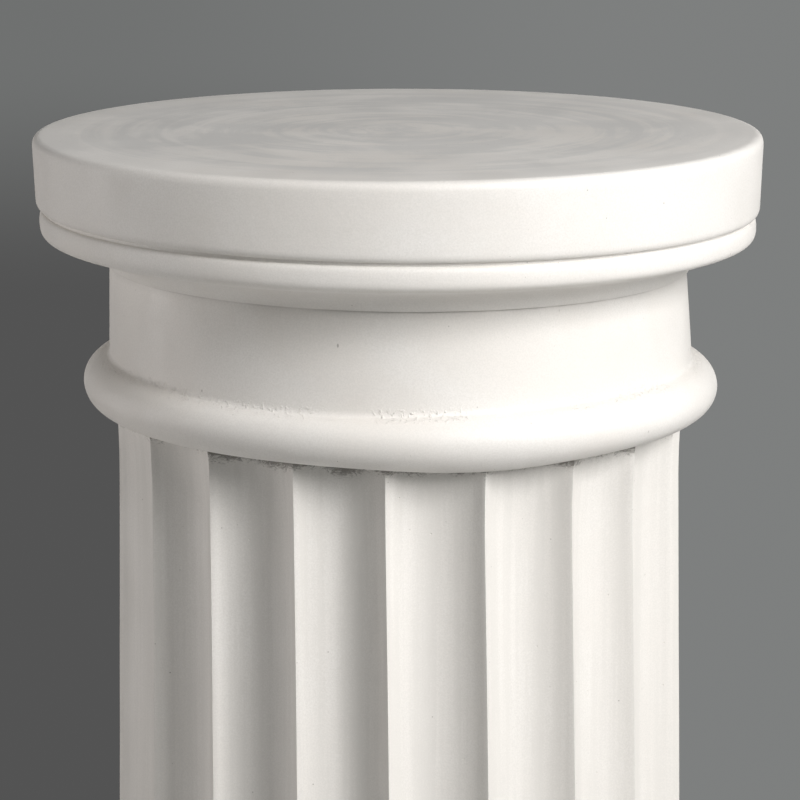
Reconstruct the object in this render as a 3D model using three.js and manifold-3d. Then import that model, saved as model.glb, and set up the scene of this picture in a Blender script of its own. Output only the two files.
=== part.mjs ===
// A free-standing Doric column pedestal, cast in white plaster as one piece.
// Millimetres, +Z up. The origin is the centre of the underside, on the floor.
// From the floor up: round plinth, half-round moulding and plain ring, the tapering shaft
// with its flutes, a half-round collar, plain necking, small hollow band, echinus and abacus.

import * as THREE from 'three';
import { mergeVertices } from 'three/addons/utils/BufferGeometryUtils.js';
import Module from 'manifold-3d';

const wasm = await Module();
wasm.setup();

// Whole column
const columnHeight = 1050;

// Abacus: the round slab on top, drawn in slightly towards its lower edge
const abacusRadius = 170;
const abacusHeight = 35;
const abacusDraft = 1;
const topEdgeRound = 4.5;
const lowerEdgeRound = 4;

// Groove between the abacus and the echinus
const grooveWidth = 1.6;
const grooveDepth = 2;

// Echinus: the convex cushion that carries the abacus. The last three are shares of its curve's
// width and height, and say how flat it leaves its lower edge and how upright it arrives
const echinusRadius = 167.4;
const echinusHeight = 13;
const echinusSideHeight = 4.5;
const echinusEdgeRadius = 158;
const echinusLeaveOut = 0.8;
const echinusLeaveUp = 0.2;
const echinusArriveDown = 0.75;

// Small band under the echinus, hollow like a cove. Its curve bends towards a point, given by
// that point's radius and its drop under the echinus
const bandFootRadius = 137;
const bandBendRadius = 140;
const bandBendDrop = 0.8;
const bandHeight = 11.4;

// Necking: the plain drum, a little wider at its foot
const neckTopRadius = 135.4;
const neckFootRadius = 137.4;
const neckHeight = 43.9;
const neckCoveHeight = 1.8;

// Collar: the half-round ring between the necking and the flutes
const collarCoreRadius = 135.8;
const collarBulge = 13.8;
const collarHeight = 25;
const collarArcEnd = THREE.MathUtils.degToRad(74);

// Shaft: its taper, its flutes and the slight flare right under the collar
const shaftTopRadius = 133.4;
const shaftFootRadius = 149;
const shaftFlareWidth = 1.6;
const shaftFlareHeight = 36;
const fluteCount = 20;
const fluteDepth = 10.2;
const fluteTurn = THREE.MathUtils.degToRad(-0.8);

// Base: plinth, half-round moulding and the ring that the flutes stand on
const plinthRadius = 184;
const plinthHeight = 42;
const plinthEdgeRound = 4;
const torusCoreRadius = 154;
const torusBulge = 22;
const torusHeight = 44;
const ringRadius = 157;
const ringHeight = 9;
const ringEdgeRound = 2.5;

// The shaft is let this far into the ring and into the collar, where nothing of it shows
const shaftSeat = 6;

// How finely the round faces are cut into flat ones
const turnedSegments = 72;
const fluteSegments = 5;
const flareSteps = 3;
const smallRoundSteps = 2;
const echinusSteps = 6;
const coveSteps = 3;
const collarSteps = 5;
const torusSteps = 5;

// Heights above the floor
const grooveTop = columnHeight - abacusHeight;
const grooveFoot = grooveTop - grooveWidth;
const echinusFoot = grooveFoot - echinusHeight;
const bandFoot = echinusFoot - bandHeight;
const collarTop = bandFoot - neckHeight;
const shaftTop = collarTop - collarHeight;
const ringFoot = plinthHeight + torusHeight;
const shaftFoot = ringFoot + ringHeight;

const plaster = new THREE.MeshStandardMaterial({ color: 0xe6e3dc, roughness: 0.55, metalness: 0 });

/** Turns a profile of radius against height, drawn upwards from axis to axis, about +Z. */
function turned(profile) {
  const geometry = new THREE.LatheGeometry(profile, turnedSegments);
  return geometry.rotateX(Math.PI / 2);
}

/** The base, from the floor up to the flat top of its ring. */
function baseGeometry() {
  const plinth = new THREE.Path();
  plinth.moveTo(0, 0);
  plinth.lineTo(plinthRadius, 0);
  plinth.lineTo(plinthRadius, plinthHeight - plinthEdgeRound);
  plinth.quadraticCurveTo(
    plinthRadius, plinthHeight,
    plinthRadius - plinthEdgeRound, plinthHeight,
  );

  const torus = new THREE.Path();
  torus.ellipse(
    torusCoreRadius, plinthHeight + torusHeight / 2,
    torusBulge, torusHeight / 2,
    -Math.PI / 2, Math.PI / 2, false, 0,
  );

  const ring = new THREE.Path();
  ring.moveTo(ringRadius, ringFoot);
  ring.lineTo(ringRadius, shaftFoot - ringEdgeRound);
  ring.quadraticCurveTo(ringRadius, shaftFoot, ringRadius - ringEdgeRound, shaftFoot);
  ring.lineTo(0, shaftFoot);

  return turned([
    ...plinth.getPoints(smallRoundSteps),
    ...torus.getPoints(torusSteps),
    ...ring.getPoints(smallRoundSteps),
  ]);
}

/** Collar and necking: a half-round ring that runs through a soft cove into the drum. */
function neckPoints() {
  const collarMiddle = shaftTop + collarHeight / 2;
  const collar = new THREE.Path();
  collar.ellipse(
    collarCoreRadius, collarMiddle,
    collarBulge, collarHeight / 2,
    -Math.PI / 2, collarArcEnd, false, 0,
  );

  // The cove leaves the collar along its tangent and ends upright on the drum
  const arcEndRadius = collarCoreRadius + collarBulge * Math.cos(collarArcEnd);
  const arcEndHeight = collarMiddle + (collarHeight / 2) * Math.sin(collarArcEnd);
  const tangentRun = (arcEndRadius - neckFootRadius) / (collarBulge * Math.sin(collarArcEnd));
  const bendHeight = arcEndHeight + tangentRun * (collarHeight / 2) * Math.cos(collarArcEnd);
  const cove = new THREE.Path();
  cove.moveTo(arcEndRadius, arcEndHeight);
  cove.quadraticCurveTo(
    neckFootRadius, bendHeight,
    neckFootRadius, bendHeight + neckCoveHeight,
  );
  cove.lineTo(neckTopRadius, bandFoot);
  return [...collar.getPoints(collarSteps), ...cove.getPoints(coveSteps).slice(1)];
}

/** Hollow band, echinus, groove and abacus, up to the middle of the top face. */
function headPoints() {
  const echinusCurveTop = grooveFoot - echinusSideHeight;
  const curveHeight = echinusCurveTop - echinusFoot;
  const curveWidth = echinusRadius - echinusEdgeRadius;
  const grooveRadius = echinusRadius - grooveDepth;
  const abacusFootRadius = abacusRadius - abacusDraft;

  const band = new THREE.Path();
  band.moveTo(bandFootRadius, bandFoot);
  band.quadraticCurveTo(
    bandBendRadius, echinusFoot - bandBendDrop,
    echinusEdgeRadius, echinusFoot,
  );

  const cushion = new THREE.Path();
  cushion.moveTo(echinusEdgeRadius, echinusFoot);
  cushion.bezierCurveTo(
    echinusEdgeRadius + echinusLeaveOut * curveWidth, echinusFoot + echinusLeaveUp * curveHeight,
    echinusRadius, echinusCurveTop - echinusArriveDown * curveHeight,
    echinusRadius, echinusCurveTop,
  );

  const rim = new THREE.Path();
  rim.moveTo(echinusRadius, echinusCurveTop);
  rim.quadraticCurveTo(echinusRadius, grooveFoot, grooveRadius, grooveFoot);
  rim.lineTo(grooveRadius, grooveTop);
  rim.quadraticCurveTo(
    abacusFootRadius, grooveTop,
    abacusFootRadius, grooveTop + lowerEdgeRound,
  );
  rim.lineTo(abacusRadius, columnHeight - topEdgeRound);
  rim.quadraticCurveTo(
    abacusRadius, columnHeight,
    abacusRadius - topEdgeRound, columnHeight,
  );
  rim.lineTo(0, columnHeight);
  return [
    ...band.getPoints(coveSteps),
    ...cushion.getPoints(echinusSteps).slice(1),
    ...rim.getPoints(smallRoundSteps).slice(1),
  ];
}

/** The capital, from the flat underside of the collar up to the top face. */
function capitalGeometry() {
  return turned([new THREE.Vector2(0, shaftTop), ...neckPoints(), ...headPoints()]);
}

/** Radius of the shaft over its sharp edges, at a height above the floor. */
function shaftRadius(height) {
  const share = (height - shaftFoot) / (shaftTop - shaftFoot);
  const intoFlare = Math.max(0, (height - shaftTop + shaftFlareHeight) / shaftFlareHeight);
  const taper = THREE.MathUtils.lerp(shaftFootRadius, shaftTopRadius, share);
  return taper + shaftFlareWidth * Math.min(1, intoFlare) ** 2;
}

/** The shaft's section at its top: hollow arcs that meet in sharp edges. */
function fluteSection() {
  const step = (2 * Math.PI) / fluteCount;
  const halfChord = shaftTopRadius * Math.sin(step / 2);
  const arcRadius = (halfChord ** 2 + fluteDepth ** 2) / (2 * fluteDepth);
  const chordDistance = shaftTopRadius * Math.cos(step / 2);
  const centreDistance = chordDistance - fluteDepth + arcRadius;
  const halfArc = Math.asin(halfChord / arcRadius);

  const section = new THREE.Shape();
  for (let flute = 0; flute < fluteCount; flute += 1) {
    const middle = fluteTurn - Math.PI / 2 + (flute + 0.5) * step;
    const inwards = middle + Math.PI;
    section.absarc(
      centreDistance * Math.cos(middle), centreDistance * Math.sin(middle), arcRadius,
      inwards + halfArc, inwards - halfArc, true,
    );
  }
  return section;
}

/** The fluted shaft, with its rows of faces placed for the taper and for the flare. */
function shaftGeometry() {
  const steps = flareSteps + 1;
  const geometry = new THREE.ExtrudeGeometry(fluteSection(), {
    depth: steps,
    steps,
    curveSegments: fluteSegments,
    bevelEnabled: false,
  });
  const rows = [shaftFoot - shaftSeat];
  for (let row = 0; row < flareSteps; row += 1) {
    rows.push(shaftTop - shaftFlareHeight * (1 - row / (flareSteps - 1)));
  }
  rows.push(shaftTop + shaftSeat);

  const position = geometry.getAttribute('position');
  const point = new THREE.Vector3();
  for (let i = 0; i < position.count; i += 1) {
    point.fromBufferAttribute(position, i);
    const height = rows[Math.round(point.z)];
    const scale = shaftRadius(height) / shaftTopRadius;
    position.setXYZ(i, point.x * scale, point.y * scale, height);
  }
  return geometry;
}

/** A closed geometry as a solid: only positions, shared corners merged, collapsed faces dropped. */
function solidOf(geometry) {
  const bare = geometry.clone();
  bare.deleteAttribute('normal');
  bare.deleteAttribute('uv');
  const merged = mergeVertices(bare, 1e-3);
  const index = merged.getIndex();
  const corners = [];
  for (let i = 0; i < index.count; i += 3) {
    const [a, b, c] = [index.getX(i), index.getX(i + 1), index.getX(i + 2)];
    if (a !== b && b !== c && c !== a) corners.push(a, b, c);
  }
  return new wasm.Manifold(new wasm.Mesh({
    numProp: 3,
    vertProperties: Float32Array.from(merged.getAttribute('position').array),
    triVerts: Uint32Array.from(corners),
  }));
}

/** A solid as a geometry with flat faces. */
function geometryOf(solid) {
  const mesh = solid.getMesh();
  const geometry = new THREE.BufferGeometry();
  geometry.setAttribute('position', new THREE.BufferAttribute(mesh.vertProperties, 3));
  geometry.setIndex(new THREE.BufferAttribute(mesh.triVerts, 1));
  geometry.computeVertexNormals();
  return geometry;
}

const casting = solidOf(baseGeometry())
  .add(solidOf(shaftGeometry()))
  .add(solidOf(capitalGeometry()));

const column = new THREE.Mesh(geometryOf(casting), plaster);
column.name = 'column';

const pedestal = new THREE.Group();
pedestal.add(column);

export default pedestal;
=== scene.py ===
# %% [markdown]
# # A cast Doric column pedestal
# The real object is one hollow casting in white plaster: round abacus, echinus, necking, collar,
# fluted shaft and a round base. The lesson loads the plain solid that fixes its size, makes one
# fine mesh over it with Geometry Nodes, gives that mesh a plaster finish, and lights it as a
# studio photograph of the capital would be lit.

import math

import bpy
from mathutils import Matrix, Vector


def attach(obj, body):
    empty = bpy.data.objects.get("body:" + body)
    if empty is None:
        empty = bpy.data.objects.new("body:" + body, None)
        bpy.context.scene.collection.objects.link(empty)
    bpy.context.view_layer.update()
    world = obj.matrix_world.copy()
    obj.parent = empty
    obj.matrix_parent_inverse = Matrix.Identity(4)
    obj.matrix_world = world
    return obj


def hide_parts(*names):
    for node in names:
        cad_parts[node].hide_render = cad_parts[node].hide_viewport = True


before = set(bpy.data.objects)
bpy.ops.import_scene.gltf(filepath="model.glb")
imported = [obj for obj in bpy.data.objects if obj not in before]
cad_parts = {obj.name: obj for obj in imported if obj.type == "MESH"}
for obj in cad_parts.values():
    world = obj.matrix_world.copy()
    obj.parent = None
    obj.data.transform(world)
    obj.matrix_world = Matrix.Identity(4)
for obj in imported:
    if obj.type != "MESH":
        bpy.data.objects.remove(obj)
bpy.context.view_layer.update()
MM = 0.001

# %% [markdown]
# ## Sizes
# The mouldings have the same sizes as the solid, in millimetres. Naming each one keeps the profile
# readable: a turner would mark the same heights and diameters on a template.

# %% Sizes of the column, in millimetres
COLUMN_HEIGHT = 1050.0
ABACUS_RADIUS, ABACUS_HEIGHT, ABACUS_DRAFT = 170.0, 35.0, 1.0
TOP_EDGE_ROUND, LOWER_EDGE_ROUND = 4.5, 4.0
GROOVE_WIDTH, GROOVE_DEPTH = 1.6, 2.0
ECHINUS_RADIUS, ECHINUS_HEIGHT, ECHINUS_SIDE = 167.4, 13.0, 4.5
ECHINUS_EDGE_RADIUS = 158.0
ECHINUS_LEAVE_OUT, ECHINUS_LEAVE_UP, ECHINUS_ARRIVE_DOWN = 0.8, 0.2, 0.75
BAND_FOOT_RADIUS, BAND_HEIGHT = 137.0, 11.4
BAND_BEND_RADIUS, BAND_BEND_DROP = 140.0, 0.8
NECK_TOP_RADIUS, NECK_FOOT_RADIUS = 135.4, 137.4
NECK_HEIGHT, NECK_COVE_HEIGHT = 43.9, 1.8
COLLAR_CORE_RADIUS, COLLAR_BULGE, COLLAR_HEIGHT = 135.8, 13.8, 25.0
COLLAR_ARC_END = math.radians(74.0)
SHAFT_TOP_RADIUS, SHAFT_FOOT_RADIUS = 133.4, 149.0
SHAFT_FLARE_WIDTH, SHAFT_FLARE_HEIGHT = 1.6, 36.0
FLUTE_COUNT, FLUTE_DEPTH = 20, 10.2
FLUTE_TURN = math.radians(-0.8)
PLINTH_RADIUS, PLINTH_HEIGHT, PLINTH_EDGE_ROUND = 184.0, 42.0, 4.0
TORUS_CORE_RADIUS, TORUS_BULGE, TORUS_HEIGHT = 154.0, 22.0, 44.0
RING_RADIUS, RING_HEIGHT, RING_EDGE_ROUND = 157.0, 9.0, 2.5

groove_top = COLUMN_HEIGHT - ABACUS_HEIGHT
groove_foot = groove_top - GROOVE_WIDTH
echinus_foot = groove_foot - ECHINUS_HEIGHT
band_foot = echinus_foot - BAND_HEIGHT
collar_top = band_foot - NECK_HEIGHT
shaft_top = collar_top - COLLAR_HEIGHT
ring_foot = PLINTH_HEIGHT + TORUS_HEIGHT
shaft_foot = ring_foot + RING_HEIGHT
print("collar underside at", round(shaft_top, 1), "mm; shaft from", shaft_foot, "mm")

# %% [markdown]
# ## The profile
# A turned or run moulding is one template swept round an axis, so its whole shape is one line of
# radius against height. It could be drawn as a curve and screwed round, but rows of points let each
# stretch have just as many as its bend needs. Each stretch is a line, an arc or a Bezier curve.

# %% Lines and curves for the profile
def between(start, end, share):
    return start + (end - start) * share


def straight(start, end, count):
    steps = range(count + 1)
    return [tuple(between(a, b, i / count) for a, b in zip(start, end)) for i in steps]


def bend(start, corner, end, count):
    points = []
    for i in range(count + 1):
        share = i / count
        first = [between(a, b, share) for a, b in zip(start, corner)]
        second = [between(a, b, share) for a, b in zip(corner, end)]
        points.append(tuple(between(a, b, share) for a, b in zip(first, second)))
    return points


def cubic(start, leave, arrive, end, count):
    points = []
    for i in range(count + 1):
        t = i / count
        weights = ((1 - t) ** 3, 3 * t * (1 - t) ** 2, 3 * t * t * (1 - t), t ** 3)
        corners = (start, leave, arrive, end)
        points.append(tuple(sum(w * c[k] for w, c in zip(weights, corners)) for k in (0, 1)))
    return points


def half_round(core, bulge, foot, height, end_angle, count):
    middle = foot + height / 2
    points = []
    for i in range(count + 1):
        angle = between(-math.pi / 2, end_angle, i / count)
        points.append((core + bulge * math.cos(angle), middle + height / 2 * math.sin(angle)))
    return points


print("a bend in two steps:", bend((0, 0), (1, 0), (1, 1), 2))

# %% [markdown]
# ## Marks along the profile
# Every point of the profile also carries marks that the later steps read: how deep the flutes are
# cut there, how roughly its joint was smoothed, how far it follows the hand-run mouldings out of
# level, how close it lies to the collar's underside, how far it sits to one side, and how close it
# lies to a fine seam. One row of numbers for each point keeps shape and marks together.

# %% The marks of one point, and the list that collects the rows
MARKS = ("fluted", "joint", "leaning", "corner", "shifted", "seam")
LEAN_FADE = 160.0
LEVEL_SHARE, LEVEL_FADE = 0.45, 6.0
FLUTE_RUN_OUT, RUN_OUT_FADE = 0.3, 22.0
CORNER_FADE = 5.0
JOINT_FADE = 5.0
SEAM_FADE = 0.7
SAME_POINT = 1e-4
# The fine seams, whose colour is darkened by dust and painted shade.
seams = (
    (NECK_TOP_RADIUS, band_foot), (COLLAR_CORE_RADIUS, shaft_top),
    (ECHINUS_EDGE_RADIUS - 2 * SEAM_FADE, echinus_foot))
profile = []


def eased(value, low, high):
    share = min(1.0, max(0.0, (value - low) / (high - low)))
    return share * share * (3 - 2 * share)


def unmoved(radius, height):
    return 0.0


def add(points, flutes=False, sideways=unmoved):
    for radius, height in points:
        run_out = FLUTE_RUN_OUT * math.exp(-abs(height - shaft_top) / RUN_OUT_FADE)
        fluted = 1.0 - run_out if flutes else 0.0
        joint = math.exp(-abs(height - collar_top) / JOINT_FADE)
        leaning = eased(height, shaft_top - LEAN_FADE, shaft_top) * eased(height, COLUMN_HEIGHT, groove_top)
        leaning *= 1 - LEVEL_SHARE * math.exp(-((height - echinus_foot) / LEVEL_FADE) ** 2)
        corner = math.exp(-abs(height - shaft_top) / CORNER_FADE)
        seam = max(math.exp(-math.dist((radius, height), place) / SEAM_FADE) for place in seams)
        row = (radius, height, fluted, joint, leaning, corner, sideways(radius, height), seam)
        if not profile or math.dist(profile[-1][:3], row[:3]) > SAME_POINT:
            profile.append(row)


print("each point has a radius, a height and the marks", ", ".join(MARKS))

# %% [markdown]
# ## The base
# The photograph cuts the base off, so it is kept plain and in keeping: a round plinth, as the abacus
# is round, then one half-round moulding and a narrow ring on which the shaft stands.

# %% The base, from the floor's centre up to the ring
UNDERSIDE_STEPS, PLINTH_STEPS, PLINTH_ROUND_STEPS = 4, 5, 6
TORUS_STEPS, RING_STEPS, RING_ROUND_STEPS = 26, 3, 5
plinth_side_top = PLINTH_HEIGHT - PLINTH_EDGE_ROUND
ring_side_top = shaft_foot - RING_EDGE_ROUND
add(straight((0, 0), (PLINTH_RADIUS, 0), UNDERSIDE_STEPS))
add(straight((PLINTH_RADIUS, 0), (PLINTH_RADIUS, plinth_side_top), PLINTH_STEPS))
add(bend(
    (PLINTH_RADIUS, plinth_side_top), (PLINTH_RADIUS, PLINTH_HEIGHT),
    (PLINTH_RADIUS - PLINTH_EDGE_ROUND, PLINTH_HEIGHT), PLINTH_ROUND_STEPS))
add(half_round(TORUS_CORE_RADIUS, TORUS_BULGE, PLINTH_HEIGHT, TORUS_HEIGHT, math.pi / 2, TORUS_STEPS))
add(straight((RING_RADIUS, ring_foot), (RING_RADIUS, ring_side_top), RING_STEPS))
add(bend(
    (RING_RADIUS, ring_side_top), (RING_RADIUS, shaft_foot),
    (RING_RADIUS - RING_EDGE_ROUND, shaft_foot), RING_ROUND_STEPS))
base_points = len(profile)
print(base_points, "rows in the base")

# %% [markdown]
# ## The shaft
# The shaft tapers evenly and flares a little where it meets the collar. Here only its outer outline
# is drawn, through the sharp edges between the flutes; the flutes are cut later. Rows lie closer
# together near the top, where the flare bends.

# %% The shaft's outline
SHAFT_STEPS, FLARE_STEPS, FLARE_CROWDING = 56, 12, 1.8


def shaft_radius(height):
    share = (height - shaft_foot) / (shaft_top - shaft_foot)
    into_flare = max(0.0, (height - shaft_top + SHAFT_FLARE_HEIGHT) / SHAFT_FLARE_HEIGHT)
    taper = between(SHAFT_FOOT_RADIUS, SHAFT_TOP_RADIUS, share)
    return taper + SHAFT_FLARE_WIDTH * min(1.0, into_flare) ** 2


flare_foot = shaft_top - SHAFT_FLARE_HEIGHT
shaft_heights = [between(shaft_foot, flare_foot, i / SHAFT_STEPS) for i in range(SHAFT_STEPS)]
shaft_heights += [
    between(shaft_top, flare_foot, (1 - i / FLARE_STEPS) ** FLARE_CROWDING) for i in range(FLARE_STEPS + 1)]
add([(shaft_radius(height), height) for height in shaft_heights], flutes=True)
shaft_points = len(profile) - base_points
print(shaft_points, "rows in the shaft")

# %% [markdown]
# ## The collar and the necking
# A half-round collar was run round the top of the shaft, and the necking above it joins it in a
# small hollow, as wet plaster does under a finger. That hollow starts along the collar's tangent,
# so no edge shows there.

# %% The collar, the hollow over it and the necking
COLLAR_STEPS, COVE_STEPS, NECK_STEPS, NECK_SEAM_STEPS = 30, 7, 14, 4
collar_middle = shaft_top + COLLAR_HEIGHT / 2
collar_points = half_round(
    COLLAR_CORE_RADIUS, COLLAR_BULGE, shaft_top, COLLAR_HEIGHT, COLLAR_ARC_END, COLLAR_STEPS)
collar_end = collar_points[-1]
tangent_run = (collar_end[0] - NECK_FOOT_RADIUS) / (COLLAR_BULGE * math.sin(COLLAR_ARC_END))
bend_height = collar_end[1] + tangent_run * COLLAR_HEIGHT / 2 * math.cos(COLLAR_ARC_END)
neck_start = (NECK_FOOT_RADIUS, bend_height + NECK_COVE_HEIGHT)
neck_seam = (NECK_TOP_RADIUS, band_foot - 2 * SEAM_FADE)


def with_neck(radius, height):
    """The neck's foot and the collar sit a little to one side; band and shaft do not."""
    if height < collar_middle:
        return (radius - COLLAR_CORE_RADIUS) / COLLAR_BULGE
    return min(1.0, (band_foot - height) / (band_foot - neck_start[1]))


add(collar_points, sideways=with_neck)
add(bend(collar_end, (NECK_FOOT_RADIUS, bend_height), neck_start, COVE_STEPS), sideways=with_neck)
add(straight(neck_start, neck_seam, NECK_STEPS), sideways=with_neck)
add(straight(neck_seam, (NECK_TOP_RADIUS, band_foot), NECK_SEAM_STEPS), sideways=with_neck)
print("the necking starts", round(neck_start[1] - collar_end[1], 1), "mm above the collar's arc")

# %% [markdown]
# ## The capital
# From the necking a small hollow band spreads out to the sharp lower edge of the echinus. The
# echinus is a low cushion that turns upright, a narrow groove parts it from the abacus, and the
# abacus is a plain disc with its edges rubbed round. Bezier curves give hollow and cushion their
# uneven bend, which no single arc has.

# %% The band, the echinus, the groove and the abacus
BAND_STEPS, ECHINUS_STEPS, ECHINUS_ROUND_STEPS, GROOVE_STEPS = 10, 22, 7, 2
LOWER_ROUND_STEPS, ABACUS_STEPS, TOP_ROUND_STEPS, TOP_STEPS = 5, 8, 8, 12
curve_top = groove_foot - ECHINUS_SIDE
curve_height = curve_top - echinus_foot
curve_width = ECHINUS_RADIUS - ECHINUS_EDGE_RADIUS
groove_radius = ECHINUS_RADIUS - GROOVE_DEPTH
abacus_foot_radius = ABACUS_RADIUS - ABACUS_DRAFT
top_radius = ABACUS_RADIUS - TOP_EDGE_ROUND
add([(BAND_FOOT_RADIUS, band_foot)])
add(bend(
    (BAND_FOOT_RADIUS, band_foot), (BAND_BEND_RADIUS, echinus_foot - BAND_BEND_DROP),
    (ECHINUS_EDGE_RADIUS, echinus_foot), BAND_STEPS))
add(cubic(
    (ECHINUS_EDGE_RADIUS, echinus_foot),
    (ECHINUS_EDGE_RADIUS + ECHINUS_LEAVE_OUT * curve_width,
     echinus_foot + ECHINUS_LEAVE_UP * curve_height),
    (ECHINUS_RADIUS, curve_top - ECHINUS_ARRIVE_DOWN * curve_height),
    (ECHINUS_RADIUS, curve_top), ECHINUS_STEPS))
add(bend(
    (ECHINUS_RADIUS, curve_top), (ECHINUS_RADIUS, groove_foot), (groove_radius, groove_foot),
    ECHINUS_ROUND_STEPS))
add(straight((groove_radius, groove_foot), (groove_radius, groove_top), GROOVE_STEPS))
add(bend(
    (groove_radius, groove_top), (abacus_foot_radius, groove_top),
    (abacus_foot_radius, groove_top + LOWER_EDGE_ROUND), LOWER_ROUND_STEPS))
add(straight(
    (abacus_foot_radius, groove_top + LOWER_EDGE_ROUND),
    (ABACUS_RADIUS, COLUMN_HEIGHT - TOP_EDGE_ROUND), ABACUS_STEPS))
add(bend(
    (ABACUS_RADIUS, COLUMN_HEIGHT - TOP_EDGE_ROUND), (ABACUS_RADIUS, COLUMN_HEIGHT),
    (top_radius, COLUMN_HEIGHT), TOP_ROUND_STEPS))
add(straight((top_radius, COLUMN_HEIGHT), (0, COLUMN_HEIGHT), TOP_STEPS))
print(len(profile), "rows in the profile,", shaft_points, "of them fluted")


# %% The profile as a mesh of points
def profile_object():
    mesh = bpy.data.meshes.new("profile")
    mesh.from_pydata([(row[0] * MM, 0.0, row[1] * MM) for row in profile], [], [])
    for place, name in enumerate(MARKS, start=2):
        layer = mesh.attributes.new(name, "FLOAT", "POINT")
        layer.data.foreach_set("value", [row[place] for row in profile])
    made = bpy.data.objects.new("column_casting", mesh)
    bpy.context.scene.collection.objects.link(made)
    return made


casting = profile_object()
print(len(casting.data.vertices), "points with", len(MARKS), "marks each")

# %% [markdown]
# ## Turning and fluting with Geometry Nodes
# A grid has one column of points for each direction round the axis and one row for each point of
# the profile. The tree bends that grid round the axis and reads its radius and height from the
# profile, so a sharp edge in the template stays exactly where it was drawn. Cutting twenty flutes
# with booleans would also work, but a rule for the radius keeps every row even and takes no time.
# A node tree needs many small nodes, so a few short helpers come first.

# %% Short helpers for building node trees
class Tree:
    """Adds nodes to a tree and links sockets; a plain value is set on the socket itself."""

    def __init__(self, tree):
        self.tree = tree

    def node(self, kind, inputs=None, **settings):
        made = self.tree.nodes.new(kind)
        for key, value in settings.items():
            setattr(made, key, value)
        for key, value in (inputs or {}).items():
            self.plug(value, made.inputs[key])
        return made

    def plug(self, value, socket):
        if isinstance(value, bpy.types.NodeSocket):
            self.tree.links.new(value, socket)
        else:
            socket.default_value = value

    def math(self, operation, *values):
        made = self.node("ShaderNodeMath", operation=operation)
        for value, socket in zip(values, made.inputs):
            self.plug(value, socket)
        return made.outputs[0]

    def product(self, *values):
        made = values[0]
        for value in values[1:]:
            made = self.math("MULTIPLY", made, value)
        return made

    def total(self, *values):
        made = values[0]
        for value in values[1:]:
            made = self.math("ADD", made, value)
        return made

    def vector(self, operation, inputs):
        return self.node("ShaderNodeVectorMath", inputs, operation=operation).outputs[0]

    def ramp(self, value, low, high, to_low=0.0, to_high=1.0):
        """Eases from to_low to to_high while the value goes from low to high."""
        made = self.node(
            "ShaderNodeMapRange", {0: value, 1: low, 2: high, 3: to_low, 4: to_high},
            interpolation_type="SMOOTHSTEP")
        return made.outputs[0]

    def stretched(self, vector, x, y, z):
        return self.vector("MULTIPLY", {0: vector, 1: (x, y, z)})

    def noise(self, vector, scale, detail=2.0, roughness=0.5, distortion=0.0):
        made = self.node("ShaderNodeTexNoise", {
            "Vector": vector, "Scale": scale, "Detail": detail, "Roughness": roughness,
            "Distortion": distortion})
        return made.outputs[0]

    def mix(self, amount, plain, changed):
        made = self.node("ShaderNodeMix", {0: amount, 6: plain, 7: changed}, data_type="RGBA")
        return made.outputs[2]


# %% The tree's named inputs
TREE_INPUTS = (
    ("Directions", "Int"), ("Rows", "Int"), ("Flute Count", "Int"), ("Flute Depth", "Float"),
    ("Edge Softness", "Float"), ("Flute Turn", "Float"), ("Flute Drift", "Float"),
    ("Flute Wander", "Float"), ("Flute Swing", "Float"), ("Hand Finish", "Float"),
    ("Out of Level", "Float"), ("Collar Sag", "Float"), ("Joint Dip", "Float"),
    ("Collar Shift", "Float"), ("Plaster", "Material"))


def turning_group():
    group = bpy.data.node_groups.new("turn_and_flute", "GeometryNodeTree")
    group.interface.new_socket("Geometry", in_out="INPUT", socket_type="NodeSocketGeometry")
    for name, kind in TREE_INPUTS:
        group.interface.new_socket(name, in_out="INPUT", socket_type="NodeSocket" + kind)
    group.interface.new_socket("Geometry", in_out="OUTPUT", socket_type="NodeSocketGeometry")
    return group


turning = turning_group()
tree = Tree(turning)
entry = tree.node("NodeGroupInput").outputs
print("turning tree with", len(TREE_INPUTS), "named inputs")

# %% The flat grid, and where each of its points lies in it
grid = tree.node("GeometryNodeMeshGrid", {
    "Size X": 1.0, "Size Y": 1.0, "Vertices X": tree.math("ADD", entry["Directions"], 1),
    "Vertices Y": entry["Rows"]})
place = tree.node("ShaderNodeSeparateXYZ", {0: tree.node("GeometryNodeInputPosition").outputs[0]})
across = tree.math("ADD", place.outputs["X"], 0.5)
up = tree.math("ADD", place.outputs["Y"], 0.5)
row_number = tree.math("ROUND", tree.math("MULTIPLY", up, tree.math("SUBTRACT", entry["Rows"], 1)))
print("flat grid:", len(turning.nodes), "nodes so far")


# %% Radius, height and marks of each row, read from the profile
def from_profile(kind, value):
    sample = tree.node("GeometryNodeSampleIndex", data_type=kind, domain="POINT", clamp=True)
    tree.plug(entry["Geometry"], sample.inputs["Geometry"])
    tree.plug(value, sample.inputs["Value"])
    tree.plug(row_number, sample.inputs["Index"])
    return sample.outputs[0]


def from_mark(name):
    reader = tree.node("GeometryNodeInputNamedAttribute", {"Name": name}, data_type="FLOAT")
    return from_profile("FLOAT", reader.outputs[0])


spot = from_profile("FLOAT_VECTOR", tree.node("GeometryNodeInputPosition").outputs[0])
template = tree.node("ShaderNodeSeparateXYZ", {0: spot})
radius, height = template.outputs["X"], template.outputs["Z"]
fluted, joint, leaning, corner, shifted, seam = [from_mark(name) for name in MARKS]
print("the tree reads", len(MARKS), "marks:", len(turning.nodes), "nodes so far")

# %% [markdown]
# ## Where the flutes stand
# On a hand-made model the flutes aren't quite evenly spaced. These drift apart on one side and close
# up on the other, wander a little, and swing sideways just under the collar. Adding slow waves to an
# even spacing gives that. Directions crowd together at the flute edges, where the surface turns
# fastest.

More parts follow.
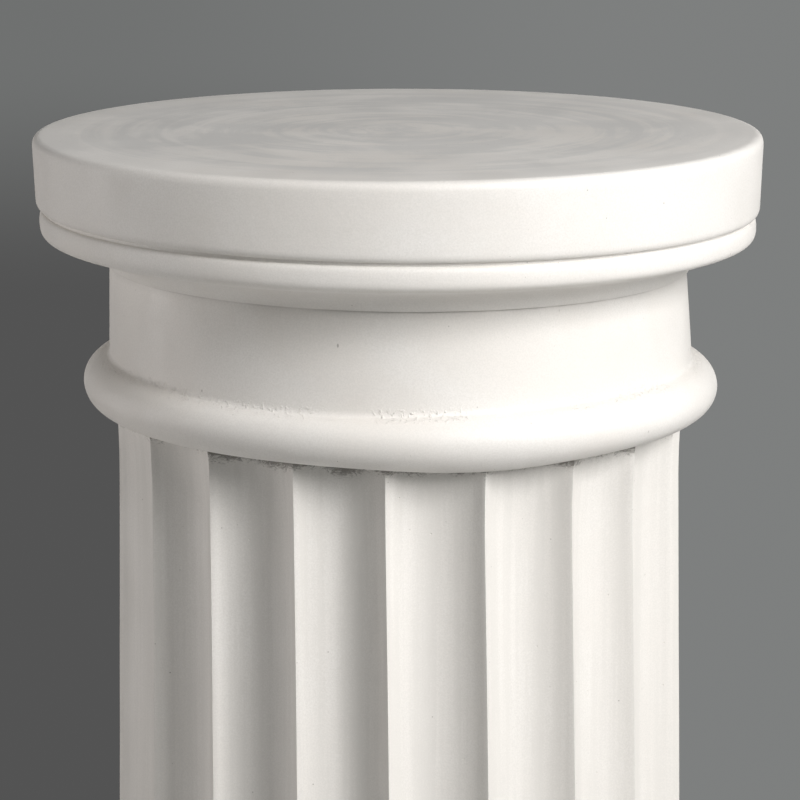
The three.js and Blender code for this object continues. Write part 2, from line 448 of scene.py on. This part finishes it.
# %% Directions round the axis
DIRECTIONS_PER_FLUTE = 16
EDGE_CROWDING = 0.72
DRIFT_CENTRE = math.radians(5.0)
WANDER_TURNS, WANDER_PHASE = 7.0, math.radians(-119.0)
SWING_FADE = 150.0


def near_collar(fade):
    below = tree.math("MINIMUM", tree.math("SUBTRACT", height, shaft_top * MM), 0.0)
    return tree.math("EXPONENT", tree.math("DIVIDE", below, fade * MM))


count = entry["Flute Count"]
flute_angle = tree.math("DIVIDE", math.tau, count)
cell = tree.math("FRACT", tree.math("MULTIPLY", across, count))
wave = tree.math("SINE", tree.math("MULTIPLY", cell, math.tau))
crowded = tree.math("SUBTRACT", cell, tree.math("MULTIPLY", wave, EDGE_CROWDING / math.tau))
local = tree.math("MULTIPLY", tree.math("SUBTRACT", crowded, 0.5), flute_angle)
flute = tree.math("FLOOR", tree.math("MULTIPLY", across, count))
middle = tree.math("MULTIPLY", tree.math("ADD", flute, 0.5), flute_angle)
even = tree.math("ADD", tree.math("ADD", middle, local), entry["Flute Turn"])
drift = tree.math("SINE", tree.math("MULTIPLY", tree.math("SUBTRACT", even, DRIFT_CENTRE), 2.0))
wander = tree.math("SINE", tree.total(tree.product(even, WANDER_TURNS), WANDER_PHASE))
drifted = tree.total(
    even, tree.product(drift, entry["Flute Drift"]), tree.product(wander, entry["Flute Wander"]))
swing = tree.product(near_collar(SWING_FADE), fluted, entry["Flute Swing"])
azimuth = tree.math("SUBTRACT", drifted, swing)


def towards(centre, tightness):
    """1 in the direction of centre, fading to both sides, faster when tightness is high."""
    turn = tree.math("COSINE", tree.math("SUBTRACT", azimuth, centre))
    return tree.math("EXPONENT", tree.product(tree.math("SUBTRACT", turn, 1.0), tightness))


print("directions:", len(turning.nodes), "nodes so far")

# %% [markdown]
# ## Cutting the flutes
# Seen from above, each flute is part of a circle. With everything as shares of the shaft's radius,
# the distance from the axis to that circle is c cos a - sqrt(rho^2 - c^2 sin^2 a), where rho is the
# circle's radius, c the distance of its centre and a the angle from the flute's middle. A smooth
# minimum with the plain shaft leaves the narrow rounded edge that a mould gives between two flutes.

# %% The flute's circle, and how deep each flute is cut
FLUTE_EDGE_SHARE = 0.9955
DEEP_AZIMUTH, DEEP_TIGHTNESS, DEEP_SHARE = math.radians(17.0), 6.0, 0.14
SHALLOW_AZIMUTH, SHALLOW_TIGHTNESS, SHALLOW_SHARE = math.radians(-69.0), 30.0, 0.6
half = tree.math("DIVIDE", math.pi, count)
depth = tree.math("DIVIDE", entry["Flute Depth"], SHAFT_TOP_RADIUS * MM)
chord = tree.math("SINE", half)
squares = tree.math("ADD", tree.math("POWER", chord, 2.0), tree.math("POWER", depth, 2.0))
rho = tree.math("DIVIDE", squares, tree.math("MULTIPLY", depth, 2.0))
centre = tree.math("ADD", tree.math("SUBTRACT", tree.math("COSINE", half), depth), rho)
along = tree.math("MULTIPLY", centre, tree.math("COSINE", local))
aside = tree.math("MULTIPLY", centre, tree.math("SINE", local))
root = tree.math("SQRT", tree.math("SUBTRACT", tree.math("POWER", rho, 2.0), tree.math("POWER", aside, 2.0)))
hollow = tree.math("SUBTRACT", along, root)
section = tree.math("SMOOTH_MIN", hollow, FLUTE_EDGE_SHARE, entry["Edge Softness"])
deeper = tree.product(towards(DEEP_AZIMUTH, DEEP_TIGHTNESS), DEEP_SHARE)
shallower = tree.product(towards(SHALLOW_AZIMUTH, SHALLOW_TIGHTNESS), -SHALLOW_SHARE)
cut = tree.product(fluted, tree.total(deeper, shallower, 1.0))
share = tree.math("ADD", tree.math("MULTIPLY", cut, tree.math("SUBTRACT", section, 1.0)), 1.0)
print("flutes:", len(turning.nodes), "nodes so far")

# %% [markdown]
# ## Out of true by hand
# Mouldings that were run by hand aren't quite level. The collar sagged a little at the front, the
# joint over it dips, and the neck sits slightly to one side. The echinus's lower edge leans less
# than the rest. All this moves points by a few millimetres at most, so it is added to their heights
# and radii, not modelled on its own.

# %% Sag, dip and tilt
SAG_AZIMUTH, SAG_TIGHTNESS = math.radians(14.5), 16.0
DIP_AZIMUTH, DIP_TIGHTNESS = math.radians(-15.0), 5.0
sag = tree.total(
    tree.product(towards(SAG_AZIMUTH, SAG_TIGHTNESS), corner, entry["Collar Sag"]),
    tree.product(towards(DIP_AZIMUTH, DIP_TIGHTNESS), joint, entry["Joint Dip"]))
to_the_side = tree.math("SINE", azimuth)
sideways = tree.math("MULTIPLY", to_the_side, radius)
tilt = tree.math("MULTIPLY", tree.math("MULTIPLY", sideways, leaning), entry["Out of Level"])
settled = tree.math("SUBTRACT", tree.math("SUBTRACT", height, sag), tilt)
lift = tree.node("ShaderNodeCombineXYZ", {0: 0.0, 1: 0.0, 2: settled}).outputs[0]
shift = tree.product(to_the_side, shifted, entry["Collar Shift"])
print("out of true:", len(turning.nodes), "nodes so far")

# %% [markdown]
# ## The skin of hand-finished plaster
# Plaster rubbed down by hand is never quite even. Two noises lower the skin: a slow one all over, and
# a lumpy one where the joint over the collar was wiped. They only ever go inwards, so the casting
# stays inside the solid's box.

# %% Slow unevenness
SLOW_PER_METRE, LUMPS_PER_METRE = 14.0, 120.0
LUMPS_IN_JOINT, LUMPS_ELSEWHERE = 0.9, 0.05
SIDE_FROM, SIDE_FULLY = 0.08, 0.12
angle = tree.math("SUBTRACT", azimuth, math.pi / 2)
unit = tree.node("ShaderNodeCombineXYZ", {
    0: tree.math("COSINE", angle), 1: tree.math("SINE", angle), 2: 0.0}).outputs[0]
ring = tree.vector("SCALE", {0: unit, "Scale": radius})
unworked = tree.vector("ADD", {0: ring, 1: lift})
slow = tree.noise(unworked, SLOW_PER_METRE, detail=1.0)
lumps = tree.noise(unworked, LUMPS_PER_METRE)
rough = tree.math("ADD", tree.math("MULTIPLY", joint, LUMPS_IN_JOINT), LUMPS_ELSEWHERE)
uneven = tree.math("ADD", slow, tree.math("MULTIPLY", lumps, rough))
sunk = tree.math("MULTIPLY", uneven, entry["Hand Finish"])
on_side = tree.ramp(radius, SIDE_FROM, SIDE_FULLY)
turned = tree.math("ADD", tree.math("MULTIPLY", radius, share), shift)
final_radius = tree.math("SUBTRACT", turned, tree.math("MULTIPLY", sunk, on_side))
outwards = tree.vector("SCALE", {0: unit, "Scale": final_radius})
where = tree.vector("ADD", {0: outwards, 1: lift})
print("skin:", len(turning.nodes), "nodes so far")

# %% [markdown]
# ## Bending the grid
# The marks that the finish needs are stored while the grid is still flat, because every value here
# is read from that grid. Then the points move, the open seam and the two poles are merged, and edges
# that turn sharply stay crisp while everything else is shaded smooth.

# %% Marks, new places, merging and shading
GRIME_AND_SHADE_FADE = 5.4
MERGE_DISTANCE = 5e-6
SHARP_ANGLE = math.radians(38.0)
marked = grid.outputs["Mesh"]
# Grime and a painted contact shade in the flute tops just under the collar.
grime_and_shade = tree.product(near_collar(GRIME_AND_SHADE_FADE), tree.math("GREATER_THAN", fluted, 0.0))
for name, value in (("grime_and_shade", grime_and_shade), ("joint", joint), ("seam", seam)):
    marked = tree.node("GeometryNodeStoreNamedAttribute", {
        "Geometry": marked, "Name": name, "Value": value}, data_type="FLOAT", domain="POINT").outputs[0]
bent = tree.node("GeometryNodeSetPosition", {"Geometry": marked, "Position": where})
closed = tree.node("GeometryNodeMergeByDistance", {"Geometry": bent.outputs[0], "Distance": MERGE_DISTANCE})
smooth_all = tree.node("GeometryNodeSetShadeSmooth", {"Geometry": closed.outputs[0]}, domain="FACE")
edge = tree.node("GeometryNodeInputMeshEdgeAngle").outputs["Unsigned Angle"]
crisp = tree.math("GREATER_THAN", edge, SHARP_ANGLE)
edged = tree.node("GeometryNodeSetShadeSmooth", {
    "Geometry": smooth_all.outputs[0], "Selection": crisp, "Shade Smooth": False}, domain="EDGE")
real = tree.node("GeometryNodeRealizeInstances", {"Geometry": edged.outputs[0]})
done = tree.node("GeometryNodeSetMaterial", {"Geometry": real.outputs[0], "Material": entry["Plaster"]})
tree.node("NodeGroupOutput", {"Geometry": done.outputs[0]})
print("turning tree with", len(turning.nodes), "nodes")

# %% [markdown]
# ## The plaster finish
# White casting plaster is nearly, but not quite, neutral white. It is matt with a slight sheen where
# it was wiped smooth. Its colour varies in soft clouds; the top is a little greyer and shows the
# round strokes of a wiping cloth. The shaft has faint upright tool streaks, the capital level ones,
# and the whole shaft is painted a little darker than the capital as painted shade. Dirt and painted
# shade darken the corner under the collar and the fine seams, and a few dark specks and pinholes
# are scattered over the casting. A painted picture could show all this too, but noises read from
# the object's own coordinates and from the marks on the mesh stay sharp at any distance.

# %% Colours and depths of the finish
WARM_WHITE = (0.83, 0.80, 0.76, 1.0)
COOL_WHITE = (0.86, 0.84, 0.81, 1.0)
SPECKLE_AND_SHADE_WHITE = (0.74, 0.72, 0.685, 1.0)
WIPED_GREY = (0.71, 0.70, 0.68, 1.0)
DIRT_AND_PAINTED_SHADE = (0.16, 0.145, 0.125, 1.0)
SPECK = (0.20, 0.18, 0.155, 1.0)
GRAIN_MM, PEEL_MM, STREAK_MM, LUMP_MM, PIT_MM = 0.03, 0.08, 0.09, 0.35, 0.25
print("the deepest relief is", max(GRAIN_MM, PEEL_MM, STREAK_MM, LUMP_MM, PIT_MM), "mm")


# %% Where things are on the column
POLAR_SIZE = 0.02
TOP_FROM, TOP_FULLY = COLUMN_HEIGHT - 1.6, COLUMN_HEIGHT - 0.2
SHAFT_FROM, SHAFT_FULLY = shaft_top + 1, shaft_top - 4


def places(tree):
    """The object's coordinates, how much a point is on top, on the shaft, and round coordinates."""
    point = tree.node("ShaderNodeTexCoord").outputs["Object"]
    parts = tree.node("ShaderNodeSeparateXYZ", {0: point}).outputs
    top = tree.ramp(parts["Z"], TOP_FROM * MM, TOP_FULLY * MM)
    shaft = tree.ramp(parts["Z"], SHAFT_FROM * MM, SHAFT_FULLY * MM)
    flat = tree.stretched(point, 1.0, 1.0, 0.0)
    from_axis = tree.node("ShaderNodeVectorMath", {0: flat}, operation="LENGTH").outputs["Value"]
    around = tree.node("ShaderNodeSeparateXYZ", {0: tree.vector("NORMALIZE", {0: flat})}).outputs
    polar = tree.node("ShaderNodeCombineXYZ", {
        0: tree.product(around["X"], POLAR_SIZE), 1: tree.product(around["Y"], POLAR_SIZE),
        2: from_axis}).outputs[0]
    return point, top, shaft, polar


def mark(tree, name):
    return tree.node("ShaderNodeAttribute", attribute_name=name).outputs["Fac"]


def scattered(tree, point, scale, size, share):
    """Sparse round spots: in a share of the cells, the part nearer to the cell's point than size."""
    cells = tree.node("ShaderNodeTexVoronoi", {"Vector": point, "Scale": scale, "Randomness": 1.0})
    chosen = tree.node("ShaderNodeSeparateColor", {0: cells.outputs["Color"]}).outputs["Red"]
    near = tree.ramp(cells.outputs["Distance"], low=size, high=size * 0.5)
    return tree.product(near, tree.math("LESS_THAN", chosen, share))


# %% [markdown]
# ## The colour
# A plaster cast keeps the marks of its making and of its use, one over the other, and painted shade
# is laid in with them. Each function below lays some of them over the white it is given, in the order
# in which they came: the cast's own clouds and tool streaks with painted shade over the shaft, the
# wiped top, dirt and painted shade in the corners, and specks.

# %% The white itself: clouds, speckle, tool streaks, and painted shade over the whole shaft
def clouded_white(tree, point, shaft):
    clouds = tree.noise(point, scale=11.0, detail=5.0, roughness=0.62, distortion=0.4)
    white = tree.mix(tree.ramp(clouds, low=0.36, high=0.64), WARM_WHITE, COOL_WHITE)
    speckle = tree.ramp(tree.noise(point, scale=1300.0, roughness=0.7), low=0.3, high=0.7)
    drawn_up = tree.stretched(point, 1.0, 1.0, 0.02)
    upright = tree.ramp(
        tree.noise(drawn_up, scale=160.0, detail=3.0, roughness=0.6), low=0.35, high=0.65)
    # Painted shade: the whole shaft below the collar is a little darker than the capital, with upright tool
    # streaks over it.
    shaft_streaks_and_shade = tree.product(tree.total(tree.product(upright, 0.45), 0.3), shaft)
    return tree.mix(tree.total(tree.product(speckle, 0.55), shaft_streaks_and_shade), white, SPECKLE_AND_SHADE_WHITE)


# %% The top, wiped with a wet cloth
def wiped_top(tree, white, point, top, polar):
    rounded = tree.stretched(polar, 1.0, 1.0, 3.0)
    strokes = tree.noise(rounded, scale=26.0, detail=4.0, roughness=0.6, distortion=1.2)
    patches = tree.noise(point, scale=14.0, detail=5.0, roughness=0.65, distortion=0.6)
    from_axis = tree.node("ShaderNodeSeparateXYZ", {0: polar}).outputs["Z"]
    inner = tree.ramp(from_axis, low=0.165, high=0.125, to_low=0.35)
    cloudy = tree.ramp(tree.total(strokes, patches), low=0.82, high=1.12)
    return tree.mix(tree.product(top, inner, cloudy), white, WIPED_GREY)


# %% Dirt and painted shade under the collar and in the seams: broad patches, eaten into by a scratchy fine noise
def corner_dirt_and_shade(tree, white, point):
    grime_and_shade = mark(tree, "grime_and_shade")
    patch = tree.noise(point, scale=55.0)
    flat_point = tree.stretched(point, 0.5, 0.5, 1.1)
    scratch = tree.noise(flat_point, scale=420.0, detail=4.0, roughness=0.75, distortion=2.6)
    level = tree.total(grime_and_shade, tree.product(scratch, 1.2), tree.product(patch, 0.9))
    # Painted shade: a dark contact line in the flute tops right under the collar.
    painted_contact_shade = tree.product(
        tree.ramp(grime_and_shade, low=0.7, high=0.95),
        tree.ramp(patch, low=0.35, high=0.6, to_low=0.4, to_high=0.85))
    eaten = tree.product(
        tree.ramp(level, low=1.4, high=1.75), tree.ramp(grime_and_shade, low=0.1, high=0.4), 0.8)
    # Dust and painted shade along the fine seams: under the echinus edge and in the corners at the band and
    # the collar.
    seam_dust_and_shade = tree.product(
        mark(tree, "seam"), tree.ramp(patch, low=0.3, high=0.6, to_low=0.25, to_high=0.6))
    dirt_and_shade = tree.math("MAXIMUM", tree.math("MAXIMUM", painted_contact_shade, eaten), seam_dust_and_shade)
    return tree.mix(dirt_and_shade, white, DIRT_AND_PAINTED_SHADE)


# %% Dark specks, larger ones a little drawn out and small round ones
def specked(tree, white, point):
    drawn_out = tree.stretched(point, 1.0, 1.0, 0.5)
    large = scattered(tree, drawn_out, scale=75.0, size=0.042, share=0.5)
    small = scattered(tree, point, scale=150.0, size=0.06, share=0.35)
    strength = tree.ramp(tree.noise(point, scale=60.0), low=0.35, high=0.65, to_low=0.25, to_high=0.75)
    return tree.mix(tree.product(tree.math("MAXIMUM", large, small), strength), white, SPECK)


# %% [markdown]
# ## The relief
# From close by the surface has a fine grain, a soft peel, streaks from the scraper, beads of plaster
# left in the wiped joint, and pinholes from air bubbles. They are fractions of a millimetre deep, so
# they are bumps in the shading and not in the mesh.

# %% Relief, in millimetres
def plaster_relief(tree, point, shaft):
    grain = tree.product(tree.noise(point, scale=1100.0), GRAIN_MM)
    peel = tree.product(tree.noise(point, scale=130.0), PEEL_MM)
    upright = tree.noise(tree.stretched(point, 1.0, 1.0, 0.03), scale=210.0, detail=3.0)
    level = tree.noise(tree.stretched(point, 0.05, 0.05, 1.0), scale=190.0)
    off_shaft = tree.math("SUBTRACT", 1.0, shaft)
    streaks = tree.product(
        tree.total(tree.product(upright, shaft), tree.product(level, off_shaft)), STREAK_MM)
    beads = tree.ramp(tree.noise(point, scale=600.0, roughness=0.6), low=0.52, high=0.7)
    here = tree.ramp(tree.noise(point, scale=30.0), low=0.34, high=0.5)
    in_joint = tree.ramp(mark(tree, "joint"), low=0.5, high=0.85)
    lumps = tree.product(beads, here, in_joint, LUMP_MM)
    pits = tree.product(scattered(tree, point, scale=210.0, size=0.09, share=0.07), -PIT_MM)
    return tree.total(grain, peel, streaks, lumps, pits)


# %% The plaster material
def plaster_material():
    material = bpy.data.materials.new("white_plaster")
    material.use_nodes = True
    material.node_tree.nodes.clear()
    tree = Tree(material.node_tree)
    point, top, shaft, polar = places(tree)
    white = clouded_white(tree, point, shaft)
    white = wiped_top(tree, white, point, top, polar)
    white = corner_dirt_and_shade(tree, white, point)
    white = specked(tree, white, point)
    bump = tree.node("ShaderNodeBump", {
        "Height": plaster_relief(tree, point, shaft), "Strength": 1.0, "Distance": MM})
    wiped = tree.noise(point, scale=26.0, detail=4.0, roughness=0.6)
    roughness = tree.ramp(wiped, low=0.35, high=0.65, to_low=0.44, to_high=0.6)
    shader = tree.node("ShaderNodeBsdfPrincipled", {
        "Base Color": white, "Roughness": roughness, "Normal": bump.outputs[0]})
    tree.node("ShaderNodeOutputMaterial", {"Surface": shader.outputs[0]})
    return material


plaster = plaster_material()
print("plaster with", len(plaster.node_tree.nodes), "nodes")

# %% [markdown]
# ## The fine mesh
# The modifier gets its values by each input's identifier before it is first evaluated. Its result
# becomes a plain mesh, so nothing depends on the tree any more, and the mesh takes the solid's place.

# %% Make the fine mesh
modifier = casting.modifiers.new("turning", "NODES")
modifier.node_group = turning
values = {
    "Directions": FLUTE_COUNT * DIRECTIONS_PER_FLUTE, "Rows": len(profile),
    "Flute Count": FLUTE_COUNT, "Flute Depth": FLUTE_DEPTH * MM, "Edge Softness": 0.006,
    "Flute Turn": FLUTE_TURN, "Flute Drift": math.radians(1.0),
    "Flute Wander": math.radians(0.45), "Flute Swing": math.radians(1.4),
    "Hand Finish": 0.4 * MM, "Out of Level": math.tan(math.radians(0.75)),
    "Collar Sag": 2.5 * MM, "Joint Dip": 3.0 * MM, "Collar Shift": 1.1 * MM, "Plaster": plaster,
}
for item in turning.interface.items_tree:
    if item.in_out == "INPUT" and item.name in values:
        modifier[item.identifier] = values[item.name]
bpy.context.view_layer.update()
graph = bpy.context.evaluated_depsgraph_get()
fine = bpy.data.meshes.new_from_object(casting.evaluated_get(graph))
casting.modifiers.clear()
casting.data = fine
fine.name = "column_casting"
fine.materials.clear()
fine.materials.append(plaster)
triangles = sum(len(face.vertices) - 2 for face in fine.polygons)
print("fine mesh:", len(fine.vertices), "points,", triangles, "triangles")

# %% Let it stand for the solid
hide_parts("column")
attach(casting, "root")

# %% [markdown]
# ## The floor
# A pale round floor is enough to stand the column on. It is painted, so it has a matt finish with a
# faint uneven texture from the roller.

# %% Floor
FLOOR_RADIUS, FLOOR_CORNERS, FLOOR_DROP = 1.9, 96, 0.0005
FLOOR_GREY = (0.60, 0.60, 0.59, 1.0)
FLOOR_PALE_GREY = (0.65, 0.65, 0.64, 1.0)


def floor_finish():
    material = bpy.data.materials.new("floor_paint")
    material.use_nodes = True
    material.node_tree.nodes.clear()
    paint = Tree(material.node_tree)
    spot = paint.node("ShaderNodeTexCoord").outputs["Object"]
    broad = paint.noise(spot, scale=3.0, detail=3.0)
    fine_grain = paint.noise(spot, scale=400.0)
    rolled = paint.total(paint.product(broad, 0.5), paint.product(fine_grain, 0.5))
    matt = paint.node("ShaderNodeBsdfPrincipled", {
        "Base Color": paint.mix(rolled, FLOOR_GREY, FLOOR_PALE_GREY), "Roughness": 0.8,
        "Normal": paint.node("ShaderNodeBump", {"Height": rolled, "Distance": 0.2 * MM}).outputs[0]})
    paint.node("ShaderNodeOutputMaterial", {"Surface": matt.outputs[0]})
    return material


floor_mesh = bpy.data.meshes.new("floor")
floor_angles = [i * math.tau / FLOOR_CORNERS for i in range(FLOOR_CORNERS)]
floor_corners = [(FLOOR_RADIUS * math.cos(a), FLOOR_RADIUS * math.sin(a), -FLOOR_DROP) for a in floor_angles]
floor_mesh.from_pydata(floor_corners, [], [list(range(FLOOR_CORNERS))])
floor_mesh.materials.append(floor_finish())
floor = bpy.data.objects.new("floor", floor_mesh)
bpy.context.scene.collection.objects.link(floor)
print("floor", 2 * FLOOR_RADIUS, "m across")

# %% [markdown]
# ## The light
# The photograph was lit by one broad lamp from the right front, a little above the capital. A small
# lamp further round to the right lights the outer flutes, a large weak one lifts the shaded left
# side, and another one the top face. Area lamps give soft-edged shadows, as a studio's softboxes do.

# %% Lamps
LAMP_DISTANCE = 2.2
LIT_POINT = Vector((0.0, 0.0, 0.93))


def lamp(name, width, height, power, azimuth, elevation, colour):
    data = bpy.data.lights.new(name, "AREA")
    data.shape = "RECTANGLE"
    data.size = width
    data.size_y = height
    data.energy = power
    data.color = colour
    made = bpy.data.objects.new(name, data)
    bpy.context.scene.collection.objects.link(made)
    turn, rise = math.radians(azimuth), math.radians(elevation)
    way = Vector((math.sin(turn) * math.cos(rise), -math.cos(turn) * math.cos(rise), math.sin(rise)))
    made.location = LIT_POINT + way * LAMP_DISTANCE
    made.rotation_euler = way.to_track_quat("Z", "Y").to_euler()
    return made


WARM_LIGHT, FILL_LIGHT, TOP_LIGHT = (1.0, 0.985, 0.975), (1.0, 0.945, 0.92), (1.0, 0.98, 0.97)
lamps = (
    lamp("key", width=0.84, height=0.96, power=45.5, azimuth=44, elevation=27.5, colour=WARM_LIGHT),
    lamp("side", width=0.6, height=0.6, power=8.0, azimuth=76, elevation=30, colour=WARM_LIGHT),
    lamp("fill", width=1.6, height=1.6, power=16.5, azimuth=-98, elevation=0, colour=FILL_LIGHT),
    lamp("overhead", width=1.0, height=1.0, power=7.0, azimuth=0, elevation=52, colour=TOP_LIGHT))
print(len(lamps), "lamps,", sum(made.data.energy for made in lamps), "W in all")

# %% [markdown]
# ## The backdrop
# White plaster stands out before plain grey. The grey is a little lighter to the right, and on the
# left, low down, it holds a painted shadow of the column on the wall behind. It is darkest overhead,
# so that little light falls on the top face. A world whose colour depends on the direction is enough.

# %% World
LEFT_GREY, RIGHT_GREY = (0.160, 0.165, 0.163, 1.0), (0.208, 0.214, 0.212, 1.0)
SHADE_GREY = (0.087, 0.087, 0.087, 1.0)
OVERHEAD_STRENGTH = 0.25
world = bpy.data.worlds.new("studio")
bpy.context.scene.world = world
world.use_nodes = True
studio = Tree(world.node_tree)
way = studio.node("ShaderNodeSeparateXYZ", {0: studio.node("ShaderNodeTexCoord").outputs["Generated"]})
plain_grey = studio.mix(studio.ramp(way.outputs["X"], low=-0.12, high=0.08), LEFT_GREY, RIGHT_GREY)
# Painted shadow of the column on the wall: darker grey on the left and low down.
shade = studio.product(
    studio.ramp(way.outputs["X"], low=0.04, high=-0.06),
    studio.ramp(way.outputs["Z"], low=-0.105, high=-0.178))
background = world.node_tree.nodes["Background"].inputs
studio.plug(studio.mix(shade, plain_grey, SHADE_GREY), background["Color"])
studio.plug(
    studio.ramp(way.outputs["Z"], low=0.1, high=0.7, to_low=1.0, to_high=OVERHEAD_STRENGTH),
    background["Strength"])
bpy.context.scene.view_settings.view_transform = "Standard"
print("backdrop with", len(world.node_tree.nodes), "nodes")

# %% [markdown]
# ## The camera
# The photograph was taken with a long lens from a little above the capital, about a metre and a half
# away. Lens, place and tilt were found by fitting the ellipse of the top and the taper of the shaft.

# %% Camera
LENS_PIXELS, FRAME_PIXELS, SENSOR_WIDTH = 3300.0, 800.0, 36.0
CAMERA_PLACE = (0.0008, -1.5319, 1.2473)
PITCH_DOWN, ROLL = math.radians(12.018), math.radians(-0.12)
camera_data = bpy.data.cameras.new("camera")
camera_data.sensor_width = SENSOR_WIDTH
camera_data.lens = LENS_PIXELS / FRAME_PIXELS * SENSOR_WIDTH
camera = bpy.data.objects.new("camera", camera_data)
bpy.context.scene.collection.objects.link(camera)
turn = Matrix.Rotation(math.radians(90) - PITCH_DOWN, 4, "X") @ Matrix.Rotation(ROLL, 4, "Z")
camera.matrix_world = Matrix.Translation(CAMERA_PLACE) @ turn
bpy.context.scene.camera = camera
print("lens", round(camera_data.lens, 1), "mm")
